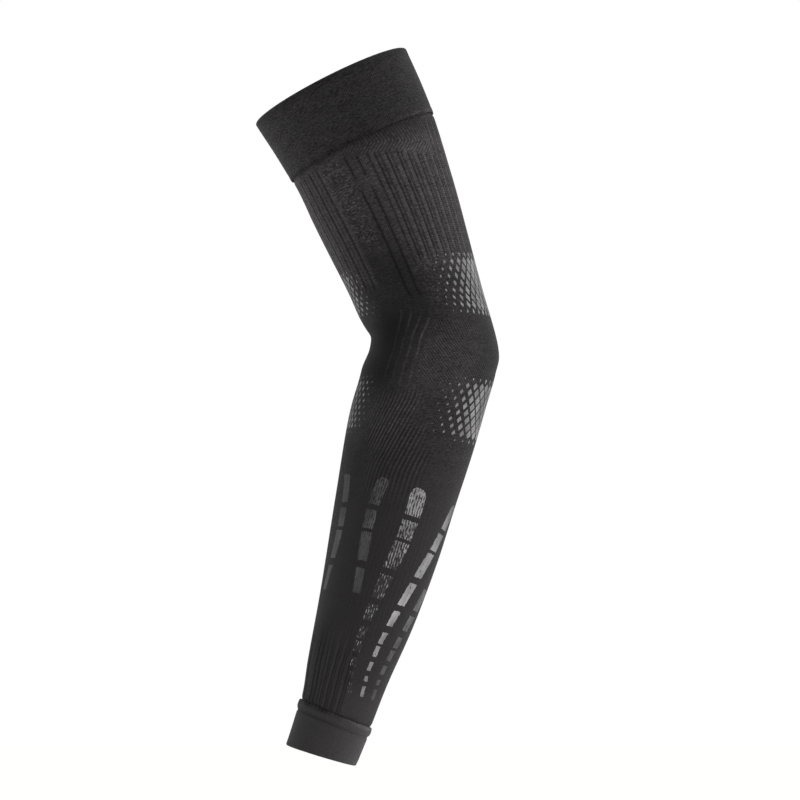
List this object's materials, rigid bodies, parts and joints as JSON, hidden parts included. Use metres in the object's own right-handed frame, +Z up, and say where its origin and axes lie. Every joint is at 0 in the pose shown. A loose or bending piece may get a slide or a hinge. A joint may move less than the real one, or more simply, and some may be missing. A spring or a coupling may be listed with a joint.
{
  "type": "arm sleeve",
  "caption": "Full-length knitted compression arm sleeve in its worn form, elbow slightly bent, with a ribbed tube, a wide folded upper band and a folded wrist cuff.",
  "frame": {"origin": "middle of the upper opening, 2 mm inside its rim, where the sleeve sits round the upper arm", "axes": "+Z up the arm as it hangs, +X towards the elbow's point, Y across the arm; the arm bends in the XZ plane"},
  "size_m": [0.146, 0.0922, 0.4302],
  "materials": {
    "rib_knit": "black rib-knit nylon and elastane, matt, with a soft sheen on the rib crests and a light grey dashed print",
    "band_knit": "black plain-knit folded welt, matt",
    "cuff_knit": "black plain-knit folded welt, matt"
  },
  "bodies": {
    "root": {"arm_tube": "rib_knit", "upper_band": "band_knit", "wrist_cuff": "cuff_knit"}
  },
  "joints": []
}
